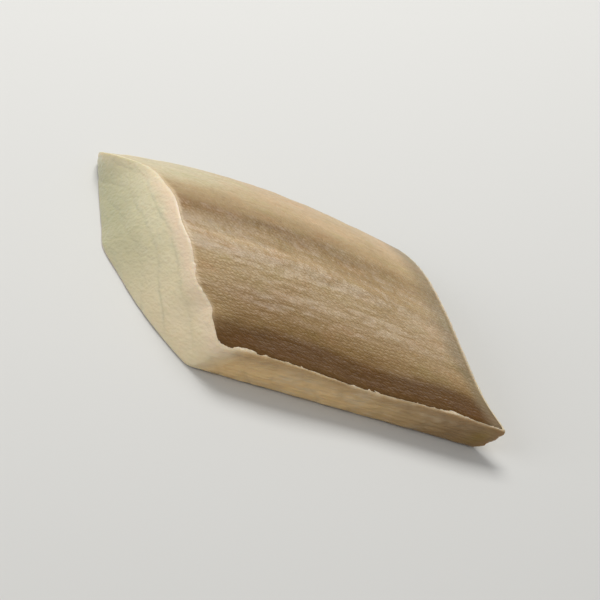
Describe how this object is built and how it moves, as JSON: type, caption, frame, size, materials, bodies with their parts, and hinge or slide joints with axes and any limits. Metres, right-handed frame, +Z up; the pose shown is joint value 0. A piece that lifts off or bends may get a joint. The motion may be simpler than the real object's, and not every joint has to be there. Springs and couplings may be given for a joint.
{
  "type": "desalted cod loin portion",
  "caption": "Skin-on portion of desalted cod loin, cut across at a slant at both ends, lying on its flat flesh side with the grey-brown skin up.",
  "frame": {"origin": "middle of the bounding box in plan, on the flat underside that lies on the table", "axes": "+X along the grain of the fish towards the sharp corner, +Y across the grain towards the thin back edge, +Z up through the skin"},
  "size_m": [0.144, 0.0846, 0.0224],
  "materials": {
    "flesh": "moist, pale cream flesh with a soft gloss",
    "skin": "moist grey-brown skin with paler edges, streaked along the grain"
  },
  "bodies": {
    "root": {"cod_loin": "flesh"}
  },
  "joints": []
}
